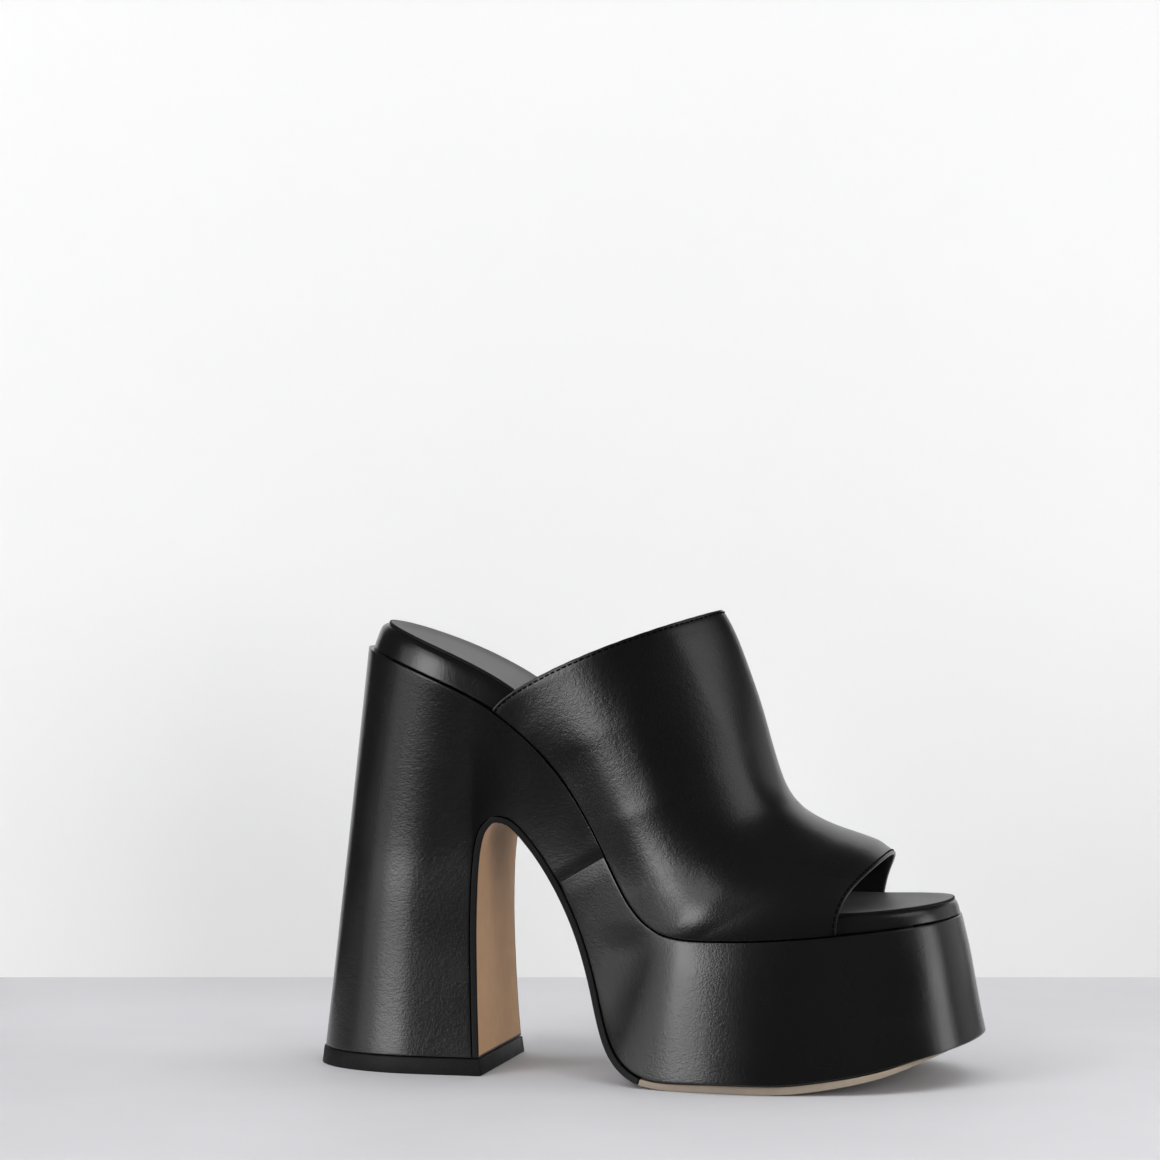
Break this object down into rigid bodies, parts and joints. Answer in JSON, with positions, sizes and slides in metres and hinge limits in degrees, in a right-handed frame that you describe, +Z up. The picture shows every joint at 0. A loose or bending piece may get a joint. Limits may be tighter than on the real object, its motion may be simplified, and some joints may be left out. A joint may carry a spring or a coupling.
{
  "type": "platform mule",
  "caption": "Open-toe leather mule with a covered platform, a high flared block heel and a one-piece vamp; right shoe.",
  "frame": {"origin": "middle of the shoe's box on the floor it stands on", "axes": "+X towards the toe, +Y towards the inner side of the foot, +Z up"},
  "size_m": [0.2178, 0.0984, 0.1487],
  "materials": {
    "black_leather": "smooth satin calf leather with a fine grain",
    "grey_leather": "matt dark grey lining leather",
    "tan_leather": "natural tan sole leather, edges inked black at breast and arch",
    "black_rubber": "matt black rubber"
  },
  "bodies": {
    "root": {"heel": "black_leather", "top_lift": "black_rubber", "platform": "black_leather", "waist_cover": "tan_leather", "outsole": "tan_leather", "footbed": "black_leather", "insock": "grey_leather", "upper": "black_leather"}
  },
  "joints": []
}
